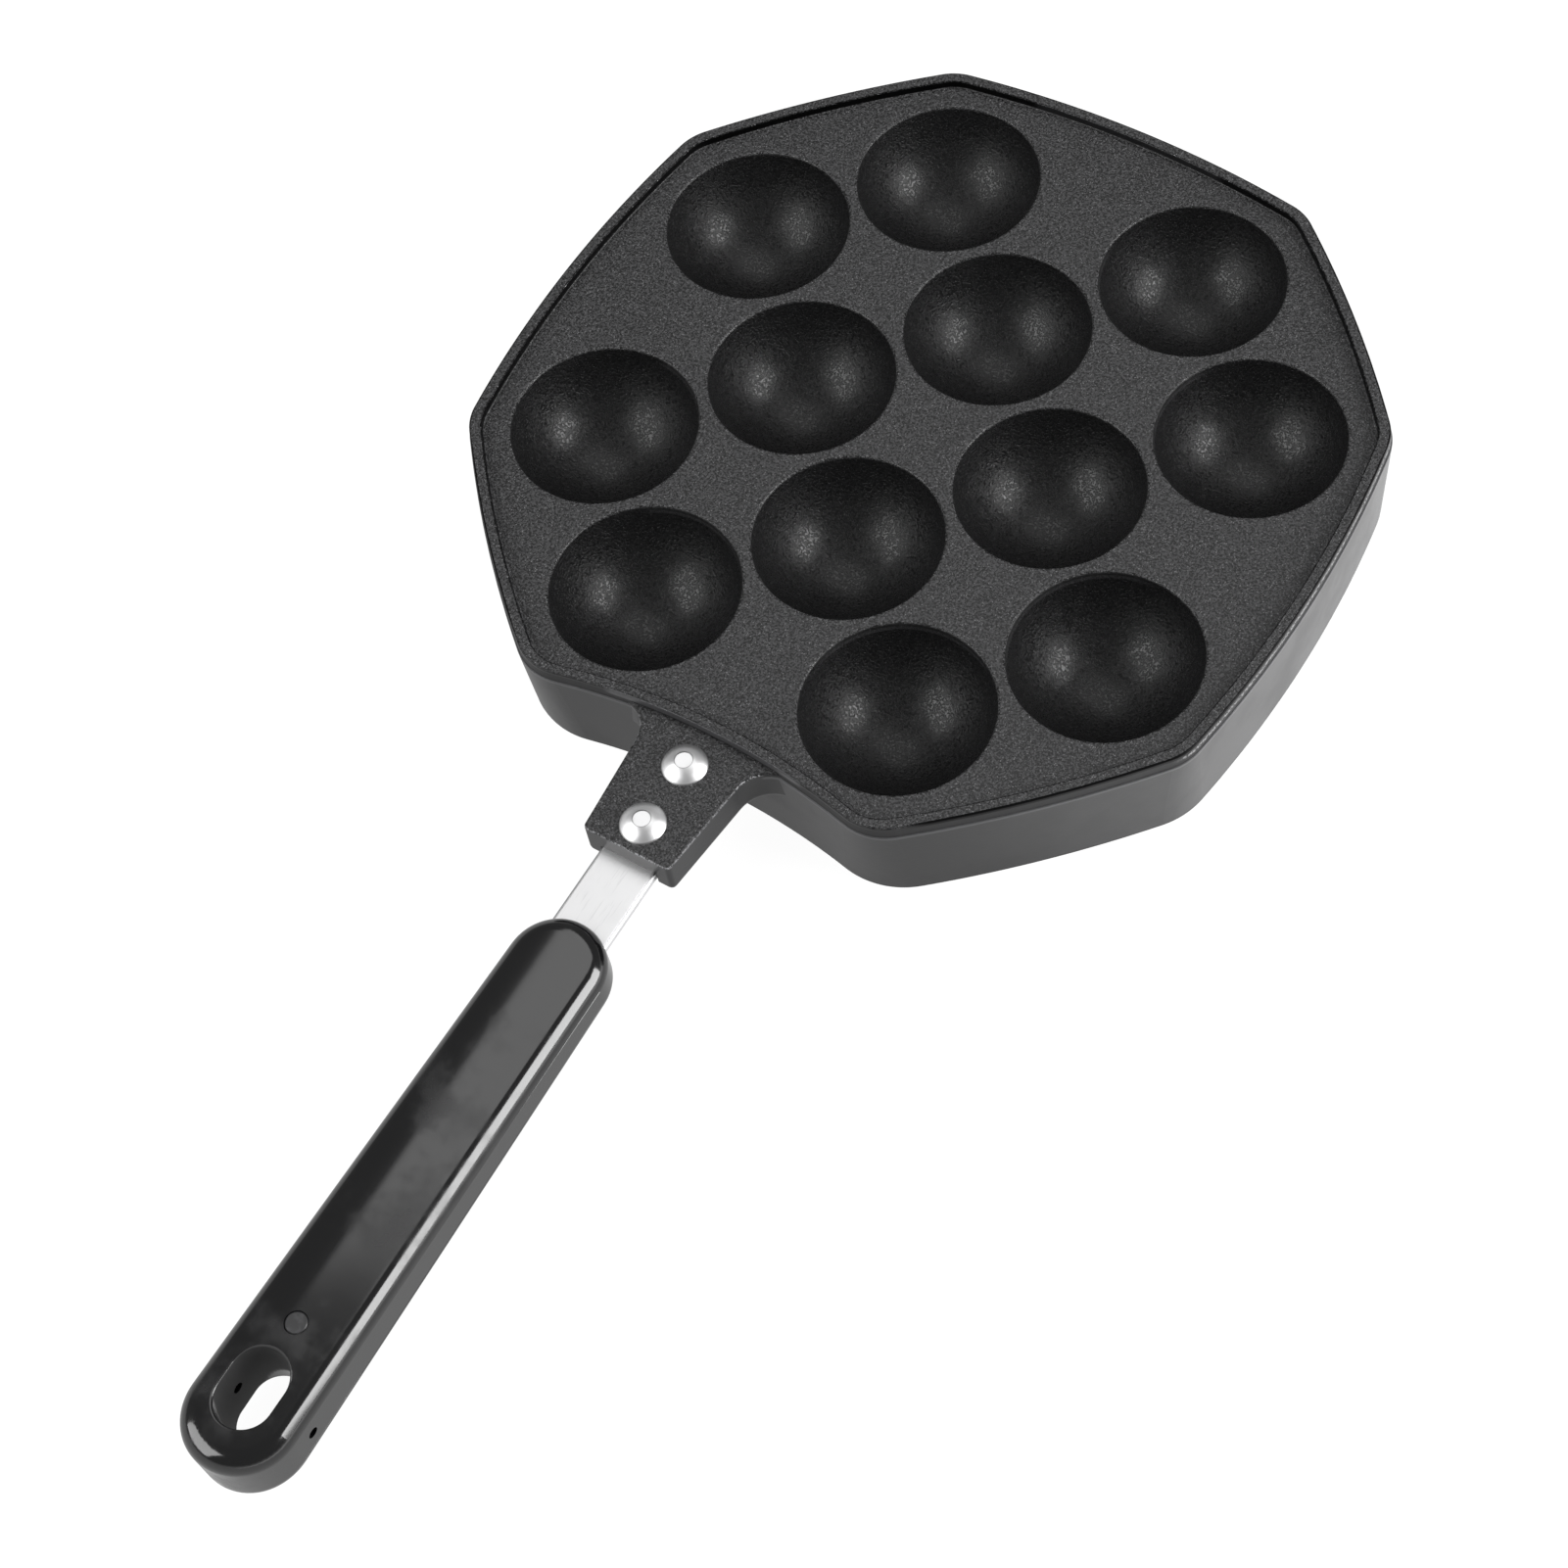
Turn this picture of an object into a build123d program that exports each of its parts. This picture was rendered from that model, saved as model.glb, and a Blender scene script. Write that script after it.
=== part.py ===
from build123d import *
import math
import os

# Takoyaki pan: a cast griddle with twelve half-round cups and a riveted grip.
# The origin is on the table under the middle of the cups, +Z is up and the handle runs along -Y.
# All sizes are in millimetres.

# Cups in a square lattice turned by half a right angle, without its four corners
cup_pitch = 46.0
cup_mouth = 43.0
cup_depth = 20.0
cup_wall = 2.6
cup_edge_round = 0.6
cups_per_row = 4
lattice_turn = 45.0

# Griddle plate, with the room between its cups and the outer edge of the rim on each kind of side
face_height = 26.0
plate_thickness = 3.2
long_side_margin = 10.25
short_side_margin = 9.85
handle_side_margin = 3.45
corner_margin = 9.67
handle_corner_margin = 10.67
corner_spread = 18.3
handle_corner_spread = 20.7
corner_radius = 13.0
corner_half_turn = math.pi / 8
handle_direction = 270

# Raised rim band and the lip below it
rim_height = 2.0
rim_band = 2.7
rim_edge_round = 0.45
rim_foot_round = 0.4
lip_drop = 3.2
lip_flare = 0.15
ledge_width = 0.3
ledge_round = 0.25

# Skirt wall, which narrows towards the table, has rounder corners there and is thicker towards the face
skirt_inset = 1.15
skirt_foot_corner = 20.0
skirt_edge = 2.8
skirt_core_inset = 0.9
skirt_foot_round = 0.6

# Lug cast with the skirt
lug_length = 32.0
lug_depth = 10.3
lug_end_width = 21.8
lug_root_width = 27.2
lug_below_face = 0.1
lug_roof = 5.2
lug_flare_radius = 8.0
lug_flare_spread = 18.0
lug_flare_out = 1.2
lug_top_round = 0.5
lug_bottom_round = 2.4
lug_corner_round = 1.2

# Steel strap, level in the lug and then slanting down into the grip
strap_width = 14.0
strap_thickness = 2.5
strap_edge_round = 0.9
strap_clearance = 0.15
strap_end_from_wall = 3.0
strap_bend_past_lug = 2.0
strap_bend_radius = 30.0
handle_slant = 2.4

# Rivets through the lug and the strap
rivet_head = 10.3
rivet_head_height = 2.4
rivet_dimple = 4.0
rivet_dimple_depth = 0.18
rivet_shank = 5.0
rivet_clearance = 0.1
rivet_tail = 8.6
rivet_tail_flat = 4.8
rivet_tail_height = 1.5
rivet_from_wall = 8.8
rivet_from_lug_end = 6.9

# Grip, measured along the slanting handle
grip_start = 15.2
grip_length = 134.8
grip_front_width = 22.4
grip_rear_width = 25.0
grip_front_thickness = 14.2
grip_rear_thickness = 19.4
grip_drop = 2.1
grip_top_crown = 60.0
grip_bottom_crown = 40.0
grip_top_round = 4.5
grip_bottom_round = 4.0

# Hanging hole and the cross hole through its side walls
hang_hole_width = 12.6
hang_hole_length = 17.4
hang_hole_from_end = 8.5
hang_hole_round = 0.5
cross_hole = 2.5
cross_hole_below_middle = 0.2

# Pin that holds the grip on the strap
pin_diameter = 5.0
pin_from_hole = 6.7
pin_floor = 2.0
pin_clearance = 0.05
pin_chamfer = 0.35
tang_past_pin = 4.0

# Derived reaches of the rim's outer edge from the origin
half_row = cup_pitch * (cups_per_row - 1) / 2
outer_cups = (2 * half_row - cup_pitch) / math.sqrt(2) + cup_mouth / 2
long_side_reach = outer_cups + long_side_margin
handle_side_reach = outer_cups + handle_side_margin
short_side_reach = half_row + cup_mouth / 2 + short_side_margin
corner_cups = math.hypot(half_row, half_row - cup_pitch) + cup_mouth / 2
corner_reach = corner_cups + corner_margin
handle_corner_reach = corner_cups + handle_corner_margin
lug_end_reach = handle_side_reach + lug_length

# Derived heights
rim_top = face_height + rim_height
lip_foot = rim_top - lip_drop
lug_top = face_height - lug_below_face
strap_top = lug_top - lug_roof
strap_middle = strap_top - strap_thickness / 2
strap_bottom = strap_top - strap_thickness
lug_bottom = lug_top - lug_depth

# Derived reaches of the wall, outwards from the rim's edge
skirt_top_growth = lip_flare + ledge_width
skirt_foot_growth = skirt_top_growth - skirt_inset
core_foot_growth = skirt_foot_growth - skirt_edge
core_top_growth = core_foot_growth - skirt_core_inset
core_foot_corner = skirt_foot_corner - skirt_edge

# Derived cup sphere
cup_radius = ((cup_mouth / 2) ** 2 + cup_depth**2) / (2 * cup_depth)
cup_centre_height = face_height - cup_depth + cup_radius

# Derived places along the handle
strap_inner_end = -(handle_side_reach + strap_end_from_wall)
strap_bend = -(lug_end_reach + strap_bend_past_lug)
rivet_places = [-(lug_end_reach - rivet_from_lug_end), -(handle_side_reach + rivet_from_wall)]
handle_frame = Plane(
    origin=(0, strap_bend, strap_middle),
    x_dir=(1, 0, 0),
    z_dir=(0, -math.sin(math.radians(handle_slant)), math.cos(math.radians(handle_slant))),
)
grip_end = grip_start + grip_length
hole_middle = grip_end - hang_hole_from_end - hang_hole_length / 2
pin_place = hole_middle - hang_hole_length / 2 - pin_from_hole
tang_length = pin_place + tang_past_pin
tool_length = 400.0


def polar(reach, angle):
    return (reach * math.cos(math.radians(angle)), reach * math.sin(math.radians(angle)))


def side_reach(direction):
    """How far the middle of a side lies from the origin."""
    if direction == handle_direction:
        return handle_side_reach
    return long_side_reach if direction % 90 == 0 else short_side_reach


def corner_places(growth):
    """Angle and reach of each corner of the rim's outline, whose pair beside the handle stands wider."""
    places = []
    for diagonal in (45, 135, 225, 315):
        for way in (-1, 1):
            beside_handle = diagonal + way * 45 == handle_direction
            spread = handle_corner_spread if beside_handle else corner_spread
            reach = handle_corner_reach if beside_handle else corner_reach
            places.append((diagonal + way * spread, reach + growth / math.cos(corner_half_turn)))
    return places


def griddle_plan(growth=0.0, corner=corner_radius):
    """The eight-sided outline of the rim's outer edge, moved outwards by growth."""
    corners = corner_places(growth)
    sides = []
    for number, (start, reach) in enumerate(corners):
        end, end_reach = corners[(number + 1) % len(corners)]
        if end < start:
            end += 360
        middle = round((start + end) / 2 / 45) * 45
        bow = polar(side_reach(middle % 360) + growth, middle)
        sides.append(ThreePointArc(polar(reach, start), bow, polar(end_reach, end)))
    return fillet(make_face(sides).vertices(), corner)


def tapered(low, high):
    """A wall solid between two outlines, each given by its height, its growth and its corner radius."""
    outlines = [Pos(0, 0, height) * griddle_plan(growth, corner) for height, growth, corner in (low, high)]
    return loft([outline.face() for outline in outlines], ruled=True)


def cup_places():
    last = cups_per_row - 1
    turn = Rot(0, 0, lattice_turn)
    places = []
    for column in range(cups_per_row):
        for row in range(cups_per_row):
            if column in (0, last) and row in (0, last):
                continue
            shift = Pos(column * cup_pitch - half_row, row * cup_pitch - half_row, 0)
            places.append((turn * shift).position)
    return places


def lug_solid():
    """The handle's lug, with a flare of its sides into the wall, before the strap's channel is cut."""
    root = -(handle_side_reach - rim_band)
    wall_line = -(handle_side_reach + lug_flare_out)
    end = -lug_end_reach
    half_end = lug_end_width / 2
    half_root = lug_root_width / 2
    half_base = half_root + lug_flare_spread / 2
    corners = [
        (half_base, root),
        (half_base, wall_line),
        (half_root, wall_line),
        (half_end, end),
        (-half_end, end),
        (-half_root, wall_line),
        (-half_base, wall_line),
        (-half_base, root),
    ]
    plan = make_face(Polyline(*corners, close=True))
    flare = [v for v in plan.vertices() if abs(abs(v.X) - half_root) < 0.01 and abs(v.Y - wall_line) < 0.01]
    plan = fillet(flare, lug_flare_radius)
    ends = [v for v in plan.vertices() if abs(v.Y - end) < 0.01]
    plan = fillet(ends, lug_corner_round)
    lug = extrude(Pos(0, 0, lug_bottom) * plan, lug_top - lug_bottom)
    lug = fillet(outside_edges(lug, lug_top, wall_line), lug_top_round)
    return fillet(outside_edges(lug, lug_bottom, wall_line), lug_bottom_round)


def outside_edges(solid, height, wall_line):
    """Edges of the lug at one height that stand clear of the wall."""
    level = solid.edges().filter_by(lambda e: abs(e.center().Z - height) < 0.01 and e.length > 0.01)
    flat = level.filter_by(lambda e: abs(e.bounding_box().size.Z) < 0.01)
    return flat.filter_by(lambda e: e.center().Y < wall_line - 0.01)


def strap_tool(clearance=0.0, start=strap_inner_end):
    """The strap, or the space it needs with a clearance all round."""
    slant = math.radians(handle_slant)
    length = tang_length + clearance
    far = (0, strap_bend - length * math.cos(slant), strap_middle - length * math.sin(slant))
    path = FilletPolyline((0, start, strap_middle), (0, strap_bend, strap_middle), far, radius=strap_bend_radius)
    section = RectangleRounded(
        strap_width + 2 * clearance,
        strap_thickness + 2 * clearance,
        strap_edge_round + clearance,
    )
    start_plane = Plane(origin=path @ 0, x_dir=(1, 0, 0), z_dir=path % 0)
    return sweep(start_plane * section, path)


def upright(diameter, bottom, top, y):
    return Pos(0, y, bottom) * Cylinder(
        diameter / 2, top - bottom, align=(Align.CENTER, Align.CENTER, Align.MIN)
    )


def pan_casting():
    skirt_foot = (0, skirt_foot_growth, skirt_foot_corner)
    skirt_top = (lip_foot, skirt_top_growth, corner_radius + skirt_top_growth)
    skirt = tapered(skirt_foot, skirt_top)
    skirt = fillet(skirt.edges().group_by(Axis.Z)[-1], ledge_round)
    skirt = fillet(skirt.edges().group_by(Axis.Z)[0], skirt_foot_round)
    lip = tapered((lip_foot, lip_flare, corner_radius + lip_flare), (rim_top, 0, corner_radius))
    well = extrude(Pos(0, 0, face_height) * griddle_plan(-rim_band, corner_radius - rim_band), rim_height)
    body = skirt + lip - well
    body = fillet(rim_edges(body, rim_top), rim_edge_round)
    body = fillet(rim_edges(body, face_height), rim_foot_round)

    core_foot = (0, core_foot_growth, core_foot_corner)
    core_top = (face_height - plate_thickness, core_top_growth, core_foot_corner)
    core = tapered(core_foot, core_top)
    places = [Pos(place.X, place.Y, cup_centre_height) for place in cup_places()]
    for place in places:
        core -= place * Sphere(cup_radius + cup_wall)
    body += lug_solid()
    body -= core
    for place in places:
        body -= place * Sphere(cup_radius)
    mouths = body.edges().filter_by(GeomType.CIRCLE).filter_by(
        lambda e: abs(e.radius - cup_mouth / 2) < 0.01 and abs(e.center().Z - face_height) < 0.01
    )
    body = fillet(mouths, cup_edge_round)

    channel_width = strap_width + 2 * strap_clearance
    channel_start = strap_inner_end + strap_clearance
    channel_length = lug_end_reach + channel_start + 1
    channel = Pos(0, channel_start, strap_top) * Box(
        channel_width, channel_length, lug_roof, align=(Align.CENTER, Align.MAX, Align.MAX)
    )
    body -= channel
    for y in rivet_places:
        body -= upright(rivet_shank + 2 * rivet_clearance, lug_bottom, lug_top + 1, y)
    return body


def rim_edges(body, height):
    """Level edges of the rim band at one height."""
    level = body.edges().filter_by(lambda e: abs(e.center().Z - height) < 0.01)
    return level.filter_by(lambda e: abs(e.bounding_box().size.Z) < 0.01)


def handle_strap():
    strap = strap_tool()
    for y in rivet_places:
        strap -= upright(rivet_shank + 2 * rivet_clearance, strap_bottom - 1, strap_top + 1, y)
    pin_hole = Pos(0, -pin_place, 0) * Cylinder(pin_diameter / 2 + pin_clearance, tool_length)
    return strap - handle_frame * pin_hole


def dome_arc(start, end):
    """An arc between two points of a rivet's profile, centred on its axis."""
    centre = (start[0] ** 2 - end[0] ** 2 + start[1] ** 2 - end[1] ** 2) / (2 * (start[1] - end[1]))
    radius = math.hypot(start[0], start[1] - centre)
    angle = (math.atan2(start[0], start[1] - centre) + math.atan2(end[0], end[1] - centre)) / 2
    middle = (radius * math.sin(angle), centre + radius * math.cos(angle))
    return ThreePointArc(start, middle, end)


def rivet(y):
    """A domed head with a small dimple, a shank, and a low tail formed against the strap."""
    head_radius = rivet_head / 2
    dome = (head_radius**2 + rivet_head_height**2) / (2 * rivet_head_height)
    dimple = rivet_dimple / 2
    dimple_rim = lug_top + rivet_head_height - dome + math.sqrt(dome**2 - dimple**2)
    dimple_floor = dimple_rim - rivet_dimple_depth
    tail_foot = strap_bottom - rivet_tail_height
    corners = {
        "tail middle": (0, tail_foot),
        "tail flat": (rivet_tail_flat / 2, tail_foot),
        "tail edge": (rivet_tail / 2, strap_bottom),
        "shank foot": (rivet_shank / 2, strap_bottom),
        "shank top": (rivet_shank / 2, lug_top),
        "head edge": (head_radius, lug_top),
        "dimple rim": (dimple, dimple_rim),
        "dimple wall": (dimple, dimple_floor),
        "dimple middle": (0, dimple_floor),
    }
    names = list(corners)
    outline = []
    for name, following in zip(names, names[1:] + names[:1]):
        bend = dome_arc if name in ("tail flat", "head edge") else Line
        outline.append(bend(corners[name], corners[following]))
    profile = Plane.XZ * make_face(outline)
    return Pos(0, y, 0) * revolve(profile, Axis.Z)


def grip_blank():
    """The grip in the handle's own frame: a tapered plan under a crowned top and over a crowned bottom."""
    front_radius = grip_front_width / 2
    rear_radius = grip_rear_width / 2
    front = Pos(0, -(grip_start + front_radius)) * Circle(front_radius)
    rear = Pos(0, -(grip_end - rear_radius)) * Circle(rear_radius)
    plan = make_hull([*front.edges(), *rear.edges()])
    blank = extrude(Pos(0, 0, -grip_rear_thickness) * plan, 2 * grip_rear_thickness)
    blank &= crown(grip_top_crown, 1)
    blank &= crown(grip_bottom_crown, -1)
    top = blank.faces().sort_by(Axis.Z)[-1]
    blank = fillet(top.outer_wire().edges(), grip_top_round)
    bottom = blank.faces().sort_by(Axis.Z)[0]
    return fillet(bottom.outer_wire().edges(), grip_bottom_round)


def grip_surface(side, distance):
    """Height of the grip's top (side 1) or bottom (side -1) over the strap's middle, along the handle."""
    share = (distance - grip_start) / grip_length
    thickness = grip_front_thickness + share * (grip_rear_thickness - grip_front_thickness)
    return side * thickness / 2 - grip_drop


def crown(radius, side):
    """A long cylinder whose crest follows the grip's top or bottom line."""
    near = Vector(0, -grip_start, grip_surface(side, grip_start) - side * radius)
    far = Vector(0, -grip_end, grip_surface(side, grip_end) - side * radius)
    lie = Plane(origin=(near + far) / 2, x_dir=(1, 0, 0), z_dir=(far - near).normalized())
    return lie * Cylinder(radius, tool_length)


def handle_grip():
    grip = grip_blank()
    hole = SlotCenterToCenter(hang_hole_length - hang_hole_width, hang_hole_width, rotation=90)
    through = extrude(Pos(0, -hole_middle, -tool_length / 2) * hole, tool_length)
    grip -= through
    rims = grip.edges().filter_by(hole_rim)
    grip = fillet(rims, hang_hole_round)
    middle = (grip_surface(1, hole_middle) + grip_surface(-1, hole_middle)) / 2
    cross = Pos(0, -hole_middle, middle - cross_hole_below_middle) * Rot(0, 90, 0)
    grip -= cross * Cylinder(cross_hole / 2, tool_length)
    pin_foot = grip_surface(-1, pin_place) + pin_floor
    pin_space = Pos(0, -pin_place, pin_foot) * Cylinder(
        pin_diameter / 2 + pin_clearance, tool_length, align=(Align.CENTER, Align.CENTER, Align.MIN)
    )
    grip -= pin_space
    return handle_frame * grip - strap_tool(strap_clearance)


def hole_rim(edge):
    """True for an edge around the hanging hole at the top or bottom of the grip."""
    box = edge.bounding_box()
    near_hole = abs(edge.center().Y + hole_middle) < hang_hole_length / 2 + 0.01
    inside = abs(edge.center().X) < hang_hole_width / 2 + 0.01
    return near_hole and inside and box.size.Z < grip_front_thickness / 2


def grip_pin():
    foot = grip_surface(-1, pin_place) + pin_floor + pin_clearance
    top = grip_surface(1, pin_place)
    pin = Pos(0, -pin_place, foot) * Cylinder(
        pin_diameter / 2, top - foot, align=(Align.CENTER, Align.CENTER, Align.MIN)
    )
    pin = chamfer(pin.edges().sort_by(Axis.Z)[-1], pin_chamfer)
    return handle_frame * pin


def write_pieces():
    os.makedirs("parts", exist_ok=True)
    pieces = {
        "pan_casting": pan_casting(),
        "handle_strap": handle_strap(),
        "handle_rivets": Compound(children=[rivet(y) for y in rivet_places]),
        "handle_grip": handle_grip(),
        "grip_pin": grip_pin(),
    }
    for name, piece in pieces.items():
        export_step(piece, f"parts/{name}.step")


write_pieces()
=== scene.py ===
import math

import bmesh
import bpy
from mathutils import Matrix, Vector


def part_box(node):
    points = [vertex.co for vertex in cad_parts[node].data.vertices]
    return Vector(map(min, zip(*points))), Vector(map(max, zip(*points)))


bl_info = {
    "name": "Takoyaki Pan",
    "version": (1, 0, 0),
    "blender": (4, 5, 0),
    "location": "3D View > Sidebar > Pan",
    "description": "Finishes and studio for a cast takoyaki pan with a riveted handle",
    "category": "Object",
}

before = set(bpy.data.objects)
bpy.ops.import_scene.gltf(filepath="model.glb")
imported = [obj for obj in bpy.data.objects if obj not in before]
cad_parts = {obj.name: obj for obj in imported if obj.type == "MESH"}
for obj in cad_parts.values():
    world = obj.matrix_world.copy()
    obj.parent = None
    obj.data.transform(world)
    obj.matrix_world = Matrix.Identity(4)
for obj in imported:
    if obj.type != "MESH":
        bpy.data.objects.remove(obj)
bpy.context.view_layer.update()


# Sizes and places of the pieces, in metres, that the finishes follow
rim_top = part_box("pan_casting")[1][2]
grip_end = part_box("handle_grip")[0][1]
rivets_low, rivets_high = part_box("handle_rivets")
strap_half_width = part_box("handle_strap")[1][0]
cup_pitch = 0.046
cup_mouth = 0.043
rim_height = 0.002
lip_height = 0.0032
face_height = rim_top - rim_height
lip_foot = rim_top - lip_height
lug_top = face_height - 0.0001
lug_start = -0.0930
lug_half_width = 0.022
front_side = -0.0915
rivet_radius = (rivets_high[0] - rivets_low[0]) / 2
rivet_places = (rivets_high[1] - rivet_radius, rivets_low[1] + rivet_radius)
rivet_dimple_radius = 0.002
hanging_hole_width = 0.0126
hanging_hole_straight = 0.0048
hanging_hole_middle = grip_end + 0.0174

# Lines and bands that the finishes draw, in metres, among them painted shade lines, a painted glint and
# painted highlights
edge_line_depth = 0.0008
edge_line_fade = 0.0003
band_start_depth = 0.0009
glint_edge_depth = 0.0020
lip_line_width = 0.0008
lug_edge_width = 0.0005
mouth_edge_width = 0.0006
strap_line_width = 0.0003
foot_line_height = 0.0003
foot_line_fade = 0.0006


class PanFinish(bpy.types.PropertyGroup):
    coat_color: bpy.props.FloatVectorProperty(
        name="Coat Colour",
        description="Colour of the non-stick coat on the face and the rim",
        subtype="COLOR",
        size=3,
        min=0.0,
        max=1.0,
        default=(0.030, 0.030, 0.031),
    )
    wall_color: bpy.props.FloatVectorProperty(
        name="Wall Colour",
        description="Colour of the smooth outside walls",
        subtype="COLOR",
        size=3,
        min=0.0,
        max=1.0,
        default=(0.022, 0.022, 0.023),
    )
    # Painted shade: the deep cups keep only this share of the coat's colour
    painted_cup_shade: bpy.props.FloatProperty(
        name="Cup Shade",
        description="How much of the coat's colour the cups keep",
        subtype="FACTOR",
        min=0.0,
        max=1.0,
        default=0.25,
    )
    grain_size: bpy.props.FloatProperty(
        name="Grain Size",
        description="Distance between the grains of the coat",
        unit="LENGTH",
        min=0.0001,
        default=0.0005,
    )
    grain_depth: bpy.props.FloatProperty(
        name="Grain Depth",
        description="Height of the grains of the coat",
        unit="LENGTH",
        min=0.0,
        default=0.0001,
    )
    # The fleck colour also paints the glint on the rim's right-facing edge
    fleck_color: bpy.props.FloatVectorProperty(
        name="Fleck Colour",
        description="Colour of the fine light flecks in the coat",
        subtype="COLOR",
        size=3,
        min=0.0,
        max=1.0,
        default=(0.30, 0.30, 0.305),
    )
    steel_color: bpy.props.FloatVectorProperty(
        name="Steel Colour",
        description="Colour of the strap and the rivets",
        subtype="COLOR",
        size=3,
        min=0.0,
        max=1.0,
        default=(0.86, 0.86, 0.865),
    )
    grip_color: bpy.props.FloatVectorProperty(
        name="Grip Colour",
        description="Colour of the moulded grip",
        subtype="COLOR",
        size=3,
        min=0.0,
        max=1.0,
        default=(0.003, 0.003, 0.0033),
    )
    pin_color: bpy.props.FloatVectorProperty(
        name="Pin Colour",
        description="Colour of the grip pin's end",
        subtype="COLOR",
        size=3,
        min=0.0,
        max=1.0,
        default=(0.03, 0.03, 0.031),
    )


class PanStage(bpy.types.PropertyGroup):
    floor_size: bpy.props.FloatProperty(
        name="Floor Size",
        description="Width of the pale floor",
        unit="LENGTH",
        min=0.5,
        default=12.0,
    )
    floor_color: bpy.props.FloatVectorProperty(
        name="Floor Colour",
        description="Colour of the pale floor",
        subtype="COLOR",
        size=3,
        min=0.0,
        max=1.0,
        default=(0.8, 0.8, 0.8),
    )
    shadow_share: bpy.props.FloatProperty(
        name="Shadow Share",
        description="How much of the floor's look comes from the light that falls on it",
        subtype="FACTOR",
        min=0.0,
        max=1.0,
        default=0.15,
    )
    floor_shine: bpy.props.FloatProperty(
        name="Floor Shine",
        description="Brightness that gloss shows of the floor where the pan shades it",
        min=0.0,
        default=0.75,
    )
    bright_floor_shine: bpy.props.FloatProperty(
        name="Bright Floor Shine",
        description="Brightness that gloss shows of the floor on the side of the right soft box",
        min=0.0,
        default=1.85,
    )
    floor_glow: bpy.props.FloatProperty(
        name="Floor Glow",
        description="Brightness that the floor shows of its own, so that it reads as white",
        min=0.0,
        default=1.12,
    )
    room_light: bpy.props.FloatProperty(
        name="Room Light",
        description="Strength of the even light from all round",
        min=0.0,
        default=0.2,
    )
    room_shine: bpy.props.FloatProperty(
        name="Room Shine",
        description="Brightness of the room that gloss shows between the soft boxes",
        min=0.0,
        default=0.27,
    )
    right_light: bpy.props.FloatProperty(
        name="Right Light",
        description="Brightness of the soft box on the right",
        min=0.0,
        default=9.0,
    )
    left_light: bpy.props.FloatProperty(
        name="Left Light",
        description="Brightness of the soft box on the left",
        min=0.0,
        default=4.3,
    )
    back_light: bpy.props.FloatProperty(
        name="Back Light",
        description="Brightness of the soft box behind the pan",
        min=0.0,
        default=1.55,
    )
    light_distance: bpy.props.FloatProperty(
        name="Light Distance",
        description="Distance of the soft boxes from the pan",
        unit="LENGTH",
        min=0.3,
        default=1.6,
    )
    focal_length: bpy.props.FloatProperty(
        name="Focal Length",
        description="Focal length of the camera on a sensor 36 mm wide, in millimetres",
        min=1.0,
        default=79.28,
    )
    picture_shift: bpy.props.FloatProperty(
        name="Picture Shift",
        description="How far the picture's middle lies beside the camera's axis, in picture widths",
        default=-0.0559,
    )


def add_node(tree, kind, label="", **settings):
    node = tree.nodes.new(kind)
    node.label = label
    for name, value in settings.items():
        setattr(node, name, value)
    return node


def feed(tree, target, value):
    """Links an output socket to the target input, or sets the target's own value."""
    if isinstance(value, bpy.types.NodeSocket):
        tree.links.new(value, target)
    elif value is not None:
        target.default_value = value


def calculate(tree, operation, first, second=None, third=None, clamp=False):
    node = add_node(tree, "ShaderNodeMath", operation=operation, use_clamp=clamp)
    for socket, value in zip(node.inputs, (first, second, third)):
        feed(tree, socket, value)
    return node.outputs[0]


def add_shares(tree, value, *shares):
    """Adds each mask, times its share, to the value."""
    for mask, share in shares:
        value = calculate(tree, "MULTIPLY_ADD", mask, share, value)
    return value


def distance_to(tree, first, second):
    node = add_node(tree, "ShaderNodeVectorMath", operation="DISTANCE")
    feed(tree, node.inputs[0], first)
    feed(tree, node.inputs[1], second)
    return node.outputs["Value"]


def spread(tree, value, low, high, to_low=0.0, to_high=1.0):
    """Maps a value from one range to another, with soft ends."""
    node = add_node(tree, "ShaderNodeMapRange", interpolation_type="SMOOTHSTEP")
    for name, number in (
        ("Value", value),
        ("From Min", low),
        ("From Max", high),
        ("To Min", to_low),
        ("To Max", to_high),
    ):
        feed(tree, node.inputs[name], number)
    return node.outputs["Result"]


def blend_colors(tree, share, first, second):
    node = add_node(tree, "ShaderNodeMix", data_type="RGBA")
    feed(tree, node.inputs["Factor"], share)
    colors = [socket for socket in node.inputs if socket.type == "RGBA"]
    feed(tree, colors[0], first)
    feed(tree, colors[1], second)
    return next(socket for socket in node.outputs if socket.type == "RGBA")


def noise(tree, vector, scale, detail=2.0, roughness=0.5, distortion=0.0):
    node = add_node(tree, "ShaderNodeTexNoise")
    for name, value in (
        ("Vector", vector),
        ("Scale", scale),
        ("Detail", detail),
        ("Roughness", roughness),
        ("Distortion", distortion),
    ):
        feed(tree, node.inputs[name], value)
    return node.outputs["Fac"]


def either(tree, *masks):
    result = masks[0]
    for mask in masks[1:]:
        result = calculate(tree, "MAXIMUM", result, mask)
    return result


def both(tree, *masks):
    result = masks[0]
    for mask in masks[1:]:
        result = calculate(tree, "MULTIPLY", result, mask)
    return result


def between(tree, value, low, high, soft):
    """1 where the value lies between low and high, with soft ends."""
    above = spread(tree, value, low - soft, low + soft)
    below = spread(tree, value, high + soft, high - soft)
    return both(tree, above, below)


def outside_of(tree, mask):
    return calculate(tree, "SUBTRACT", 1.0, mask, clamp=True)


def scaled_color(tree, color, factor):
    node = add_node(tree, "ShaderNodeVectorMath", operation="SCALE")
    feed(tree, node.inputs[0], color)
    feed(tree, node.inputs["Scale"], factor)
    return node.outputs[0]


def split_vector(tree, vector):
    node = add_node(tree, "ShaderNodeSeparateXYZ")
    feed(tree, node.inputs[0], vector)
    return [node.outputs[axis] for axis in "XYZ"]


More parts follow.
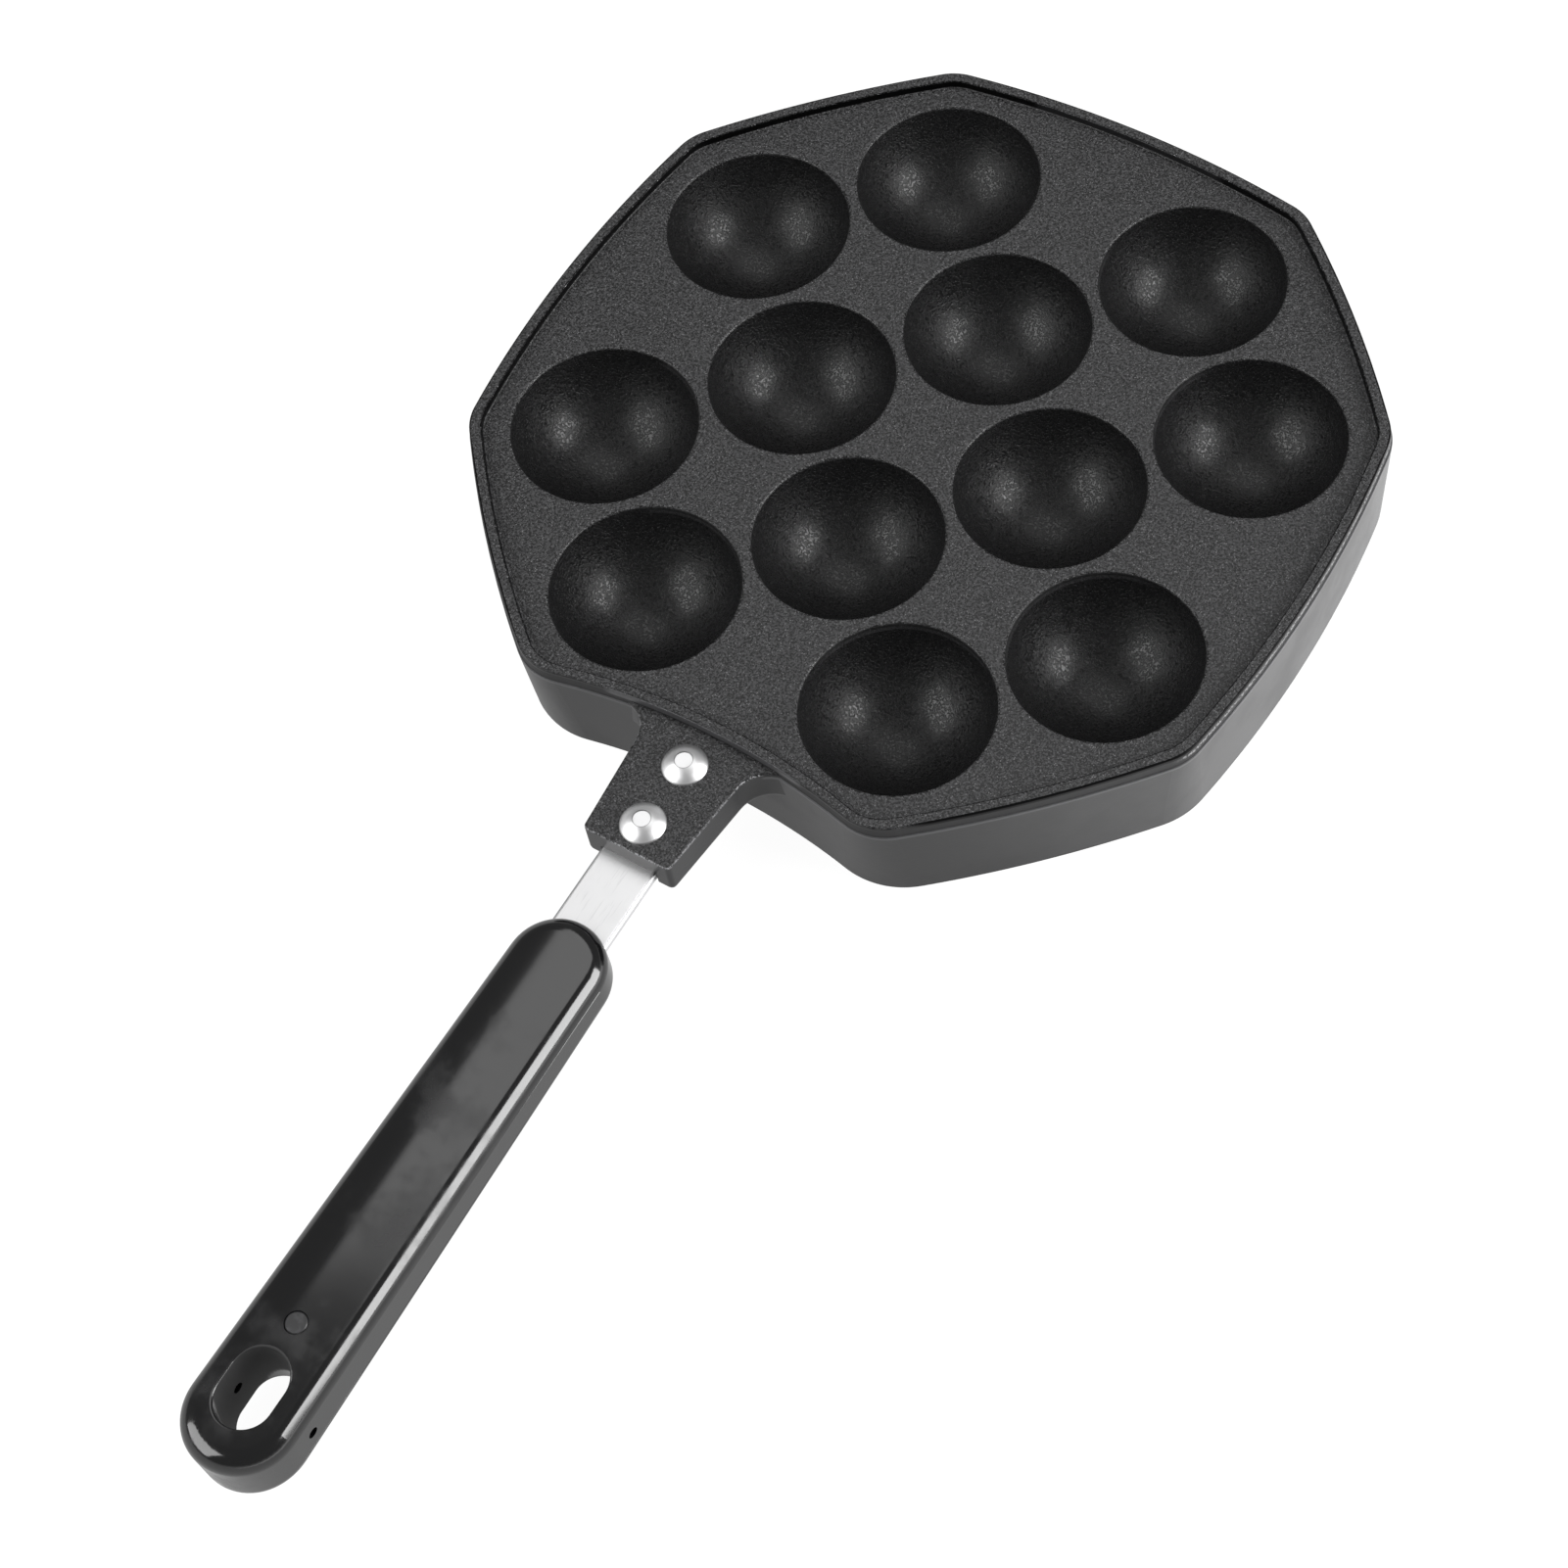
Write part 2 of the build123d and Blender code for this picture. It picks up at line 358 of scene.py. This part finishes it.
def stretched(tree, vector, stretch):
    node = add_node(tree, "ShaderNodeMapping")
    feed(tree, node.inputs["Vector"], vector)
    node.inputs["Scale"].default_value = stretch
    return node.outputs["Vector"]


def new_group(name, inputs, outputs):
    """An empty shader node group with float or vector sockets, and its two end nodes."""
    group = bpy.data.node_groups.new(name, "ShaderNodeTree")
    for label, kind, default in inputs:
        socket = group.interface.new_socket(label, in_out="INPUT", socket_type=kind)
        if default is not None:
            socket.default_value = default
    for label in outputs:
        group.interface.new_socket(label, in_out="OUTPUT", socket_type="NodeSocketFloat")
    return group, group.nodes.new("NodeGroupInput").outputs, group.nodes.new("NodeGroupOutput").inputs


def coat_grain_group():
    """Fine worm-like grains and sparse light flecks of a sprayed non-stick coat."""
    name = "Coat Grain"
    if name in bpy.data.node_groups:
        return bpy.data.node_groups[name]
    group, given, result = new_group(
        name,
        [("Vector", "NodeSocketVector", None), ("Size", "NodeSocketFloat", 0.0005)],
        ["Height", "Worms", "Flecks"],
    )
    place = given["Vector"]
    density = calculate(group, "DIVIDE", 1.0, given["Size"])
    worms = spread(group, noise(group, place, density, 1.0, 0.5, 0.7), 0.4, 0.6)
    feed(group, result["Worms"], worms)
    fine = noise(group, place, both(group, density, 2.1), detail=1.0)
    feed(group, result["Height"], add_shares(group, worms, (fine, 0.35)))
    specks = add_node(group, "ShaderNodeTexVoronoi", "specks", feature="F1")
    feed(group, specks.inputs["Vector"], place)
    feed(group, specks.inputs["Scale"], both(group, density, 1.1))
    core = spread(group, specks.outputs["Distance"], 0.45, 0.15)
    chosen = add_node(group, "ShaderNodeSeparateColor")
    feed(group, chosen.inputs["Color"], specks.outputs["Color"])
    feed(group, result["Flecks"], both(group, core, spread(group, chosen.outputs["Red"], 0.55, 1.0)))
    return group


def use_marks_group():
    """Faint cloudy smudges and hair-fine scratches from handling."""
    name = "Use Marks"
    if name in bpy.data.node_groups:
        return bpy.data.node_groups[name]
    group, given, result = new_group(
        name,
        [("Vector", "NodeSocketVector", None), ("Smudge Scale", "NodeSocketFloat", 60.0)],
        ["Smudges", "Scratches"],
    )
    place = given["Vector"]
    cloud = noise(group, place, given["Smudge Scale"], detail=4.0, roughness=0.6)
    feed(group, result["Smudges"], spread(group, cloud, 0.48, 0.68))
    hairs = noise(group, stretched(group, place, (1.0, 0.05, 1.0)), 2600.0, detail=2.0)
    feed(group, result["Scratches"], spread(group, hairs, 0.58, 0.72))
    return group


def place_group(tree, group, **values):
    node = add_node(tree, "ShaderNodeGroup", group.name, node_tree=group)
    for name, value in values.items():
        feed(tree, node.inputs[name.replace("_", " ")], value)
    return node


def new_finish(name):
    """A material with its Principled shader and object coordinates ready to use."""
    material = bpy.data.materials.new(name)
    material.use_nodes = True
    tree = material.node_tree
    tree.nodes.clear()
    output = tree.nodes.new("ShaderNodeOutputMaterial")
    shader = tree.nodes.new("ShaderNodeBsdfPrincipled")
    tree.links.new(shader.outputs["BSDF"], output.inputs["Surface"])
    place = tree.nodes.new("ShaderNodeTexCoord").outputs["Object"]
    return material, tree, shader, place


def add_bump(tree, shader, height, depth, strength=1.0):
    bump = add_node(tree, "ShaderNodeBump")
    feed(tree, bump.inputs["Height"], height)
    bump.inputs["Distance"].default_value = depth
    feed(tree, bump.inputs["Strength"], strength)
    tree.links.new(bump.outputs["Normal"], shader.inputs["Normal"])


def opaque(color):
    return (*color, 1.0)


def nearest_cup(tree, place):
    """Distance from the nearest cup's axis, from one quarter of the pan folded over the rest."""
    folded = add_node(tree, "ShaderNodeVectorMath", "one quarter", operation="ABSOLUTE")
    feed(tree, folded.inputs[0], place)
    flat = add_node(tree, "ShaderNodeVectorMath", "flat", operation="MULTIPLY")
    feed(tree, flat.inputs[0], folded.outputs[0])
    flat.inputs[1].default_value = (1.0, 1.0, 0.0)
    step = cup_pitch / math.sqrt(2)
    nearest = None
    for across, along in ((1, 2), (2, 1), (1, 0), (0, 1)):
        reach = distance_to(tree, flat.outputs[0], (across * step, along * step, 0.0))
        nearest = reach if nearest is None else calculate(tree, "MINIMUM", nearest, reach)
    return nearest


def rim_masks(tree, place, height):
    """Masks of the lines and bands that run round the rim, its lip and the lug's edge, among them painted
    shade lines, a painted glint and painted highlights.
    """
    normal = tree.nodes.new("ShaderNodeTexCoord").outputs["Normal"]
    across, along, _ = split_vector(tree, place)
    facing_right, facing_back, facing_up = split_vector(tree, normal)
    beside = calculate(tree, "ABSOLUTE", across)
    # More than nought where the surface faces away from the pan's middle, less where it faces inwards
    turned_out = add_shares(tree, both(tree, along, facing_back), (across, facing_right))
    outward = spread(tree, turned_out, 0.008, 0.025)
    on_lug = both(
        tree,
        spread(tree, along, lug_start + 0.0004, lug_start - 0.0004),
        spread(tree, beside, lug_half_width + 0.002, lug_half_width),
        spread(tree, height, lug_top + 0.0004, lug_top + 0.0002),
    )
    # The lip over the lug, which the painted highlights lift out of its shade
    over_lug = both(
        tree,
        spread(tree, facing_back, -0.3, -0.8),
        spread(tree, beside, lug_half_width + 0.004, lug_half_width + 0.001),
        spread(tree, height, lug_top + 0.0002, lug_top + 0.0006),
    )
    lip = both(tree, outward, outside_of(tree, on_lug), outside_of(tree, over_lug))
    away_from_front = spread(tree, along, front_side, front_side + 0.005, 0.3, 1.0)
    edge_foot = rim_top - edge_line_depth
    glint_top = edge_foot - edge_line_fade
    glint_foot = rim_top - glint_edge_depth
    band_top = rim_top - band_start_depth
    return {
        "up": spread(tree, facing_up, 0.35, 0.65),
        "over lug": over_lug,
        # Painted shade along the rim's outer top edge
        "edge": both(tree, lip, away_from_front, spread(tree, height, glint_top, edge_foot)),
        # Painted glint where the rim's outer edge faces right, towards the right soft box
        "painted glint": both(
            tree,
            lip,
            spread(tree, facing_right, 0.8, 0.95),
            between(tree, height, glint_foot, glint_top, 0.0002),
        ),
        "band": both(tree, lip, between(tree, height, lip_foot, band_top, 0.0001)),
        # Painted highlight along the lip's foot
        "line": both(
            tree,
            lip,
            between(tree, height, lip_foot - lip_line_width, lip_foot + 0.0001, 0.00015),
        ),
        # Painted shade on the rim's inner wall, next to the face
        "inner wall": both(
            tree,
            spread(tree, turned_out, -0.012, -0.035),
            spread(tree, height, face_height + 0.0001, face_height + 0.0003),
        ),
        # Light line along the lug's top edge, partly wear and partly painted highlight
        "lug edge": both(
            tree,
            on_lug,
            outward,
            between(tree, height, lug_top - lug_edge_width, lug_top - 0.0001, 0.00006),
        ),
    }


def cup_masks(tree, place, height):
    """Masks of the cups' insides and of the edge round each cup's mouth."""
    reach = nearest_cup(tree, place)
    radius = cup_mouth / 2
    in_cup = both(
        tree,
        spread(tree, reach, radius + 0.0015, radius + 0.0003),
        spread(tree, height, face_height - 0.0001, face_height - 0.0005),
    )
    mouth_edge = both(
        tree,
        between(tree, reach, radius - 0.0002, radius + mouth_edge_width, 0.0002),
        spread(tree, height, face_height - 0.0005, face_height - 0.0002),
    )
    return in_cup, mouth_edge


def coat_finish(look):
    material, tree, shader, place = new_finish("speckled_coat")
    height = split_vector(tree, place)[2]
    rim = rim_masks(tree, place, height)
    in_cup, mouth_edge = cup_masks(tree, place, height)
    on_top = both(tree, rim["up"], spread(tree, height, lug_top - 0.0006, lug_top - 0.0002))
    grainy = both(tree, either(tree, on_top, in_cup), outside_of(tree, rim["edge"]))
    grain = place_group(tree, coat_grain_group(), Vector=place, Size=look.grain_size)
    marks = place_group(tree, use_marks_group(), Vector=place, Smudge_Scale=35.0)
    worms = grain.outputs["Worms"]
    # Painted shade: dark lines at the rim's outer edge, on its inner wall and along the walls' foot
    foot = spread(tree, height, foot_line_height + foot_line_fade, foot_line_height)
    painted_shade_lines = either(tree, rim["edge"], rim["inner wall"], foot)
    # Painted highlights: a line at the lip's foot, the lip over the lug lifted out of its shade, and the
    # lug's top edge, partly wear
    painted_highlights = either(
        tree,
        both(tree, rim["line"], 0.6),
        both(tree, rim["over lug"], 0.5),
        both(tree, rim["lug edge"], worms, 3.0),
    )

    body = blend_colors(tree, grainy, opaque(look.wall_color), opaque(look.coat_color))
    # Painted shade: a dimmed copy of the coat's colour for the deep cups
    shaded_cup_color = opaque([value * look.painted_cup_shade for value in look.coat_color])
    body = blend_colors(tree, in_cup, body, shaded_cup_color)
    grain_shade = calculate(tree, "MULTIPLY_ADD", worms, 1.6, -0.8)
    shade = add_shares(
        tree,
        1.0,
        (grain_shade, both(tree, grainy, outside_of(tree, in_cup))),
        (rim["band"], -0.3),
        (painted_shade_lines, -0.8),
        (painted_highlights, 3.5),
    )
    body = scaled_color(tree, body, calculate(tree, "MAXIMUM", shade, 0.1))
    flecks = both(tree, grain.outputs["Flecks"], grainy, spread(tree, in_cup, 0.0, 1.0, 0.55, 0.1))
    # The coat's own light flecks, and the painted glint on the rim's right-facing edge, in the fleck
    # colour
    flecks_and_glint = either(tree, flecks, both(tree, rim["painted glint"], worms))
    color = blend_colors(tree, flecks_and_glint, body, opaque(look.fleck_color))
    feed(tree, shader.inputs["Base Color"], color)

    wall_roughness = 0.38
    uneven = add_shares(tree, spread(tree, in_cup, 0.0, 1.0, 0.28, 0.2), (worms, 0.2))
    rough = add_shares(
        tree,
        wall_roughness,
        (calculate(tree, "SUBTRACT", uneven, wall_roughness), grainy),
        (marks.outputs["Smudges"], 0.05),
        (rim["band"], 0.2),
        (mouth_edge, -0.18),
        (foot, 0.4),
    )
    feed(tree, shader.inputs["Roughness"], rough)
    # The painted shade lines turn into a nearly black metal, which has no gloss, so they stay dark from
    # all sides
    feed(tree, shader.inputs["Metallic"], both(tree, painted_shade_lines, 0.85))
    shader.inputs["IOR"].default_value = 1.42

    strength = add_shares(tree, spread(tree, grainy, 0.0, 1.0, 0.04, 1.0), (in_cup, -0.5))
    add_bump(tree, shader, both(tree, grain.outputs["Height"], strength, look.grain_depth), 1.0)
    return material


def hypotenuse(tree, first, second):
    squared = calculate(tree, "MULTIPLY", first, first)
    return calculate(tree, "SQRT", calculate(tree, "MULTIPLY_ADD", second, second, squared))


def rivet_shade_rings(tree, place):
    """1 on the thin circles where each rivet's dimple begins and where its head meets the lug, which the
    steel shows as painted shade.
    """
    across, along, _ = split_vector(tree, place)
    rings = []
    for middle in rivet_places:
        reach = hypotenuse(tree, across, calculate(tree, "SUBTRACT", along, middle))
        for ring, width in ((rivet_dimple_radius, 0.0001), (rivet_radius, 0.0002)):
            rings.append(between(tree, reach, ring - width, ring + width, 0.0001))
    return either(tree, *rings)


def strap_shade_lines(tree, place):
    """1 along the strap's two long edges, which the steel shows as painted shade."""
    beside = calculate(tree, "ABSOLUTE", split_vector(tree, place)[0])
    outer = strap_half_width - 0.0002
    return between(tree, beside, outer - strap_line_width, outer, 0.0001)


def steel_finish(look, name, roughness, brushed, painted_shade_lines):
    """Steel with hair-fine scratches, and with the lines of painted shade that the given function draws.
    """
    material, tree, shader, place = new_finish(name)
    marks = place_group(tree, use_marks_group(), Vector=place, Smudge_Scale=180.0)
    dark = [value * 0.25 for value in look.steel_color]
    shade = both(tree, marks.outputs["Scratches"], brushed * 0.3)
    shade = either(tree, shade, both(tree, painted_shade_lines(tree, place), 0.8))
    color = blend_colors(tree, shade, opaque(look.steel_color), opaque(dark))
    feed(tree, shader.inputs["Base Color"], color)
    shader.inputs["Metallic"].default_value = 1.0
    rough = add_shares(tree, roughness, (marks.outputs["Smudges"], 0.06))
    feed(tree, shader.inputs["Roughness"], rough)
    add_bump(tree, shader, marks.outputs["Scratches"], 0.000004, brushed)
    return material


def inside_hanging_hole(tree, place):
    """1 on the walls of the hanging hole, from the distance to the line between its two round ends."""
    across, along, _ = split_vector(tree, place)
    from_middle = calculate(tree, "ABSOLUTE", calculate(tree, "SUBTRACT", along, hanging_hole_middle))
    past_end = calculate(tree, "SUBTRACT", from_middle, hanging_hole_straight / 2)
    reach = hypotenuse(tree, across, calculate(tree, "MAXIMUM", past_end, 0.0))
    return spread(tree, reach, hanging_hole_width / 2 + 0.00025, hanging_hole_width / 2 + 0.0001)


def grip_finish(look):
    material, tree, shader, place = new_finish("moulded_phenolic")
    marks = place_group(tree, use_marks_group(), Vector=place, Smudge_Scale=55.0)
    smudges = marks.outputs["Smudges"]
    lighter = [value * 2.2 + 0.002 for value in look.grip_color]
    smudged = both(tree, smudges, 0.6)
    color = blend_colors(tree, smudged, opaque(look.grip_color), opaque(lighter))
    feed(tree, shader.inputs["Base Color"], color)
    shader.inputs["IOR"].default_value = 1.7
    hole_roughness = spread(tree, inside_hanging_hole(tree, place), 0.0, 1.0, 0.0, 0.75)
    rough = either(tree, add_shares(tree, 0.12, (smudges, 0.16)), hole_roughness)
    feed(tree, shader.inputs["Roughness"], rough)
    add_bump(tree, shader, noise(tree, place, 90.0, detail=1.0), 0.00003, 0.5)
    return material


def pin_finish(look):
    material, tree, shader, place = new_finish("dull_pin_end")
    marks = place_group(tree, use_marks_group(), Vector=place, Smudge_Scale=400.0)
    lighter = [value * 1.8 for value in look.pin_color]
    color = blend_colors(tree, marks.outputs["Smudges"], opaque(look.pin_color), opaque(lighter))
    feed(tree, shader.inputs["Base Color"], color)
    feed(tree, shader.inputs["Roughness"], add_shares(tree, 0.4, (marks.outputs["Scratches"], 0.1)))
    add_bump(tree, shader, noise(tree, place, 1500.0), 0.00002)
    return material


def dress(node_name, material):
    """Gives a CAD node its finish."""
    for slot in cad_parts[node_name].material_slots:
        slot.material = material


class PAN_OT_casting(bpy.types.Operator):
    """Coat the pan casting"""

    bl_idname = "pan.casting"
    bl_label = "Pan Casting"

    def execute(self, context):
        dress("pan_casting", coat_finish(context.scene.pan_finish))
        return {"FINISHED"}


class PAN_OT_strap(bpy.types.Operator):
    """Polish the flat strap of the handle"""

    bl_idname = "pan.strap"
    bl_label = "Handle Strap"

    def execute(self, context):
        look = context.scene.pan_finish
        dress("handle_strap", steel_finish(look, "polished_strap", 0.42, 0.4, strap_shade_lines))
        return {"FINISHED"}


class PAN_OT_rivets(bpy.types.Operator):
    """Polish the domed rivets"""

    bl_idname = "pan.rivets"
    bl_label = "Handle Rivets"

    def execute(self, context):
        look = context.scene.pan_finish
        dress("handle_rivets", steel_finish(look, "polished_rivet", 0.38, 0.1, rivet_shade_rings))
        return {"FINISHED"}


class PAN_OT_grip(bpy.types.Operator):
    """Finish the moulded grip"""

    bl_idname = "pan.grip"
    bl_label = "Handle Grip"

    def execute(self, context):
        dress("handle_grip", grip_finish(context.scene.pan_finish))
        return {"FINISHED"}


class PAN_OT_pin(bpy.types.Operator):
    """Finish the pin in the grip"""

    bl_idname = "pan.pin"
    bl_label = "Grip Pin"

    def execute(self, context):
        dress("grip_pin", pin_finish(context.scene.pan_finish))
        return {"FINISHED"}


def seen_directly(tree):
    """1 for rays from the camera, and for what gloss and glass show of the background."""
    rays = tree.nodes.new("ShaderNodeLightPath").outputs
    return either(tree, rays["Is Camera Ray"], rays["Is Glossy Ray"], rays["Is Transmission Ray"])


def build_floor(stage):
    mesh = bpy.data.meshes.new("pale_floor")
    shape = bmesh.new()
    bmesh.ops.create_grid(shape, x_segments=1, y_segments=1, size=stage.floor_size / 2)
    shape.to_mesh(mesh)
    shape.free()
    floor = bpy.data.objects.new("pale_floor", mesh)
    bpy.context.scene.collection.objects.link(floor)
    material = bpy.data.materials.new("pale_floor")
    material.use_nodes = True
    tree = material.node_tree
    tree.nodes.clear()
    output = tree.nodes.new("ShaderNodeOutputMaterial")
    lit = add_node(tree, "ShaderNodeBsdfDiffuse")
    lit.inputs["Color"].default_value = opaque(stage.floor_color)
    white = add_node(tree, "ShaderNodeEmission")
    direct = tree.nodes.new("ShaderNodeLightPath").outputs["Is Camera Ray"]
    across, along, _ = split_vector(tree, tree.nodes.new("ShaderNodeTexCoord").outputs["Object"])
    # Gloss shows the floor brighter on the right, from just beside the pan's middle on, as a painted pool
    # of the right soft box's light
    to_right = add_shares(tree, across, (along, 0.25))
    shine = spread(tree, to_right, 0.03, 0.1, stage.floor_shine, stage.bright_floor_shine)
    feed(tree, white.inputs["Strength"], spread(tree, direct, 0.0, 1.0, shine, stage.floor_glow))
    mix = add_node(tree, "ShaderNodeMixShader")
    feed(tree, mix.inputs["Fac"], both(tree, seen_directly(tree), 1.0 - stage.shadow_share))
    tree.links.new(lit.outputs[0], mix.inputs[1])
    tree.links.new(white.outputs[0], mix.inputs[2])
    tree.links.new(mix.outputs[0], output.inputs["Surface"])
    mesh.materials.append(material)


def build_room(stage):
    world = bpy.data.worlds.new("studio")
    bpy.context.scene.world = world
    world.use_nodes = True
    tree = world.node_tree
    tree.nodes.clear()
    output = tree.nodes.new("ShaderNodeOutputWorld")
    rise = split_vector(tree, tree.nodes.new("ShaderNodeTexCoord").outputs["Generated"])[2]
    horizon = spread(tree, rise, 0.30, 0.02)
    rays = tree.nodes.new("ShaderNodeLightPath").outputs
    shine = either(tree, rays["Is Glossy Ray"], rays["Is Transmission Ray"])
    room = spread(tree, shine, 0.0, 1.0, stage.room_light, stage.room_shine)
    light = tree.nodes.new("ShaderNodeBackground")
    strength = either(tree, rays["Is Camera Ray"], both(tree, horizon, shine), room)
    feed(tree, light.inputs["Strength"], strength)
    tree.links.new(light.outputs[0], output.inputs["Surface"])


def soft_box(name, brightness, distance, azimuth, elevation, size, roll=0.0):
    """A rectangular lamp that faces the pan, with a brightness that doesn't change with its size."""
    target = Vector((0.0, -0.06, 0.02))
    turn, rise = math.radians(azimuth), math.radians(elevation)
    direction = Vector((math.cos(rise) * math.cos(turn), math.cos(rise) * math.sin(turn), math.sin(rise)))
    data = bpy.data.lights.new(name, "AREA")
    data.shape = "RECTANGLE"
    data.size, data.size_y = size
    data.energy = brightness * math.pi * size[0] * size[1]
    lamp = bpy.data.objects.new(name, data)
    facing = direction.to_track_quat("Z", "Y").to_matrix().to_4x4()
    rolled = facing @ Matrix.Rotation(math.radians(roll), 4, "Z")
    lamp.matrix_world = Matrix.Translation(target + direction * distance) @ rolled
    bpy.context.scene.collection.objects.link(lamp)


def build_camera(stage):
    place = Vector((0.27560, -0.36868, 0.65221))
    right = Vector((0.849327, 0.520839, -0.085852))
    up = Vector((-0.414412, 0.758643, 0.502716))
    data = bpy.data.cameras.new("camera")
    data.lens = stage.focal_length
    data.sensor_width = 36.0
    data.shift_x = stage.picture_shift
    data.clip_start = 0.01
    data.clip_end = 100.0
    camera = bpy.data.objects.new("camera", data)
    turn = Matrix((right, up, right.cross(up))).transposed().to_4x4()
    camera.matrix_world = Matrix.Translation(place) @ turn
    bpy.context.scene.collection.objects.link(camera)
    bpy.context.scene.camera = camera


class PAN_OT_stage(bpy.types.Operator):
    """Set the floor, the room, the soft boxes and the camera"""

    bl_idname = "pan.stage"
    bl_label = "Stage"

    def execute(self, context):
        stage = context.scene.pan_stage
        build_floor(stage)
        build_room(stage)
        far = stage.light_distance
        soft_box("right_light", stage.right_light, far, azimuth=20.0, elevation=23.0, size=(1.0, 1.2))
        soft_box("left_light", stage.left_light, far, azimuth=-132.0, elevation=36.0, size=(1.3, 1.1))
        soft_box(
            "back_light",
            stage.back_light,
            far,
            azimuth=103.0,
            elevation=68.0,
            size=(1.35, 1.0),
            roll=-14.0,
        )
        build_camera(stage)
        context.scene.view_settings.view_transform = "Standard"
        return {"FINISHED"}


class PAN_PT_sidebar(bpy.types.Panel):
    """Lists the pieces of the pan and the stage"""

    bl_idname = "PAN_PT_sidebar"
    bl_label = "Takoyaki Pan"
    bl_space_type = "VIEW_3D"
    bl_region_type = "UI"
    bl_category = "Pan"

    def draw(self, context):
        column = self.layout.column(align=True)
        for operator in operators:
            column.operator(operator.bl_idname)
        for group in (context.scene.pan_finish, context.scene.pan_stage):
            box = self.layout.box()
            for name in group.bl_rna.properties.keys():
                if name not in ("rna_type", "name"):
                    box.prop(group, name)


operators = (
    PAN_OT_casting,
    PAN_OT_strap,
    PAN_OT_rivets,
    PAN_OT_grip,
    PAN_OT_pin,
    PAN_OT_stage,
)
classes = (PanFinish, PanStage, *operators, PAN_PT_sidebar)


def register():
    for item in classes:
        bpy.utils.register_class(item)
    bpy.types.Scene.pan_finish = bpy.props.PointerProperty(type=PanFinish)
    bpy.types.Scene.pan_stage = bpy.props.PointerProperty(type=PanStage)


def unregister():
    del bpy.types.Scene.pan_stage
    del bpy.types.Scene.pan_finish
    for item in reversed(classes):
        bpy.utils.unregister_class(item)


def main():
    register()
    bpy.ops.pan.casting()
    bpy.ops.pan.strap()
    bpy.ops.pan.rivets()
    bpy.ops.pan.grip()
    bpy.ops.pan.pin()
    bpy.ops.pan.stage()


if __name__ == "__main__":
    main()
